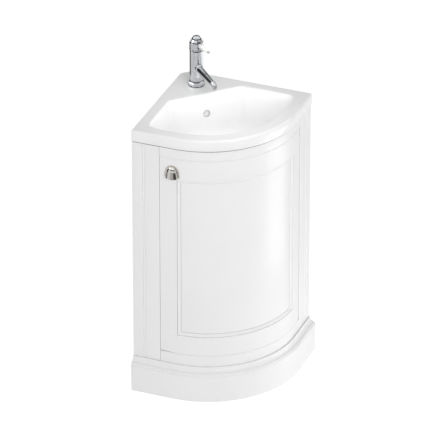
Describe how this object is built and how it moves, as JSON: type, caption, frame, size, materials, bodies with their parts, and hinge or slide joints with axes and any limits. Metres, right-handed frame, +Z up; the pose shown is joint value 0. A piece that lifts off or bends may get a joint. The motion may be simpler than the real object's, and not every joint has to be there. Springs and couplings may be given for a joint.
{
  "type": "corner vanity unit",
  "caption": "Quarter-round corner vanity cabinet on a moulded plinth, with a bowed panelled door, a corner basin, a lever mixer tap and a trap.",
  "frame": {"origin": "on the floor, below the middle of the unit's bounding box", "axes": "+Z up; the left-hand wall is the plane at the lowest X, the right-hand wall the plane at the highest Y, and the bowed front faces +X and -Y"},
  "size_m": [0.454, 0.454, 1.096],
  "materials": {
    "painted_board": "satin off-white paint on board",
    "lacquered_carcass": "matt white faced board",
    "glazed_basin": "gloss white glaze",
    "white_ceramic": "gloss white glaze",
    "chrome": "polished",
    "nickel": "polished, slightly warm",
    "zinc_steel": "zinc plated",
    "white_plastic": "moulded",
    "black_rubber": "matt",
    "brass": "machined"
  },
  "bodies": {
    "cabinet": {"side_panel_left": "lacquered_carcass", "side_panel_right": "lacquered_carcass", "corner_frame": "lacquered_carcass", "base_panel": "lacquered_carcass", "shelf": "lacquered_carcass", "shelf_pegs": "zinc_steel", "stiles": "painted_board", "front_rails": "painted_board", "plinth_board": "painted_board", "plinth_moulding": "painted_board", "cabinet_screws": "zinc_steel", "door_stop": "painted_board", "magnet_catch": "white_plastic", "pivot_pins": "zinc_steel", "pivot_washer": "white_plastic", "basin_floor": "glazed_basin", "basin_deck": "glazed_basin", "basin_back": "glazed_basin", "basin_sides": "glazed_basin", "basin_front_left": "glazed_basin", "basin_front_middle_left": "glazed_basin", "basin_front_middle_right": "glazed_basin", "basin_front_right": "glazed_basin", "overflow_ring": "chrome", "tap_gasket": "black_rubber", "tap_foot": "chrome", "tap_barrel": "chrome", "tap_ring": "chrome", "tap_cartridge": "white_plastic", "tap_spout": "chrome", "tap_aerator": "chrome", "tap_stud": "brass", "tap_clamp_pad": "black_rubber", "tap_clamp": "zinc_steel", "tap_nut": "brass", "waste_body": "chrome", "waste_seal": "black_rubber", "waste_nut": "chrome", "trap_nut": "white_plastic", "trap_body": "white_plastic", "trap_bottle": "white_plastic", "trap_outlet_nut": "white_plastic", "trap_outlet": "white_plastic"},
    "door": {"door_stile_hinge": "painted_board", "door_stile_knob": "painted_board", "door_rails": "painted_board", "door_panel": "painted_board", "door_moulding": "painted_board", "pivot_bushes": "zinc_steel", "strike_plate": "zinc_steel", "knob": "nickel", "knob_plate": "nickel", "knob_screw": "zinc_steel"},
    "tap_cap": {"tap_cap": "chrome", "tap_finial": "chrome"},
    "tap_lever": {"lever_hub": "chrome", "lever_collar": "chrome", "lever_handle": "white_ceramic", "lever_tip": "chrome"},
    "waste_plug": {"waste_plug": "chrome"}
  },
  "joints": [
    {"name": "door_hinge", "type": "hinge", "parent": "cabinet", "child": "door", "pos_m": [0.194, 0.124, 0.5], "axis": [0, 0, 1], "range_deg": [0, 100]},
    {"name": "temperature_turn", "type": "hinge", "parent": "cabinet", "child": "tap_cap", "pos_m": [-0.15205, 0.15205, 1.053], "axis": [0, 0, 1], "range_deg": [-45, 45]},
    {"name": "flow_lift", "type": "hinge", "parent": "tap_cap", "child": "tap_lever", "pos_m": [-0.15205, 0.15205, 1.069], "axis": [-0.7071, -0.7071, 0], "range_deg": [0, 18]},
    {"name": "plug_lift", "type": "slide", "parent": "cabinet", "child": "waste_plug", "axis": [0, 0, 1], "range_m": [0, 0.006]}
  ]
}
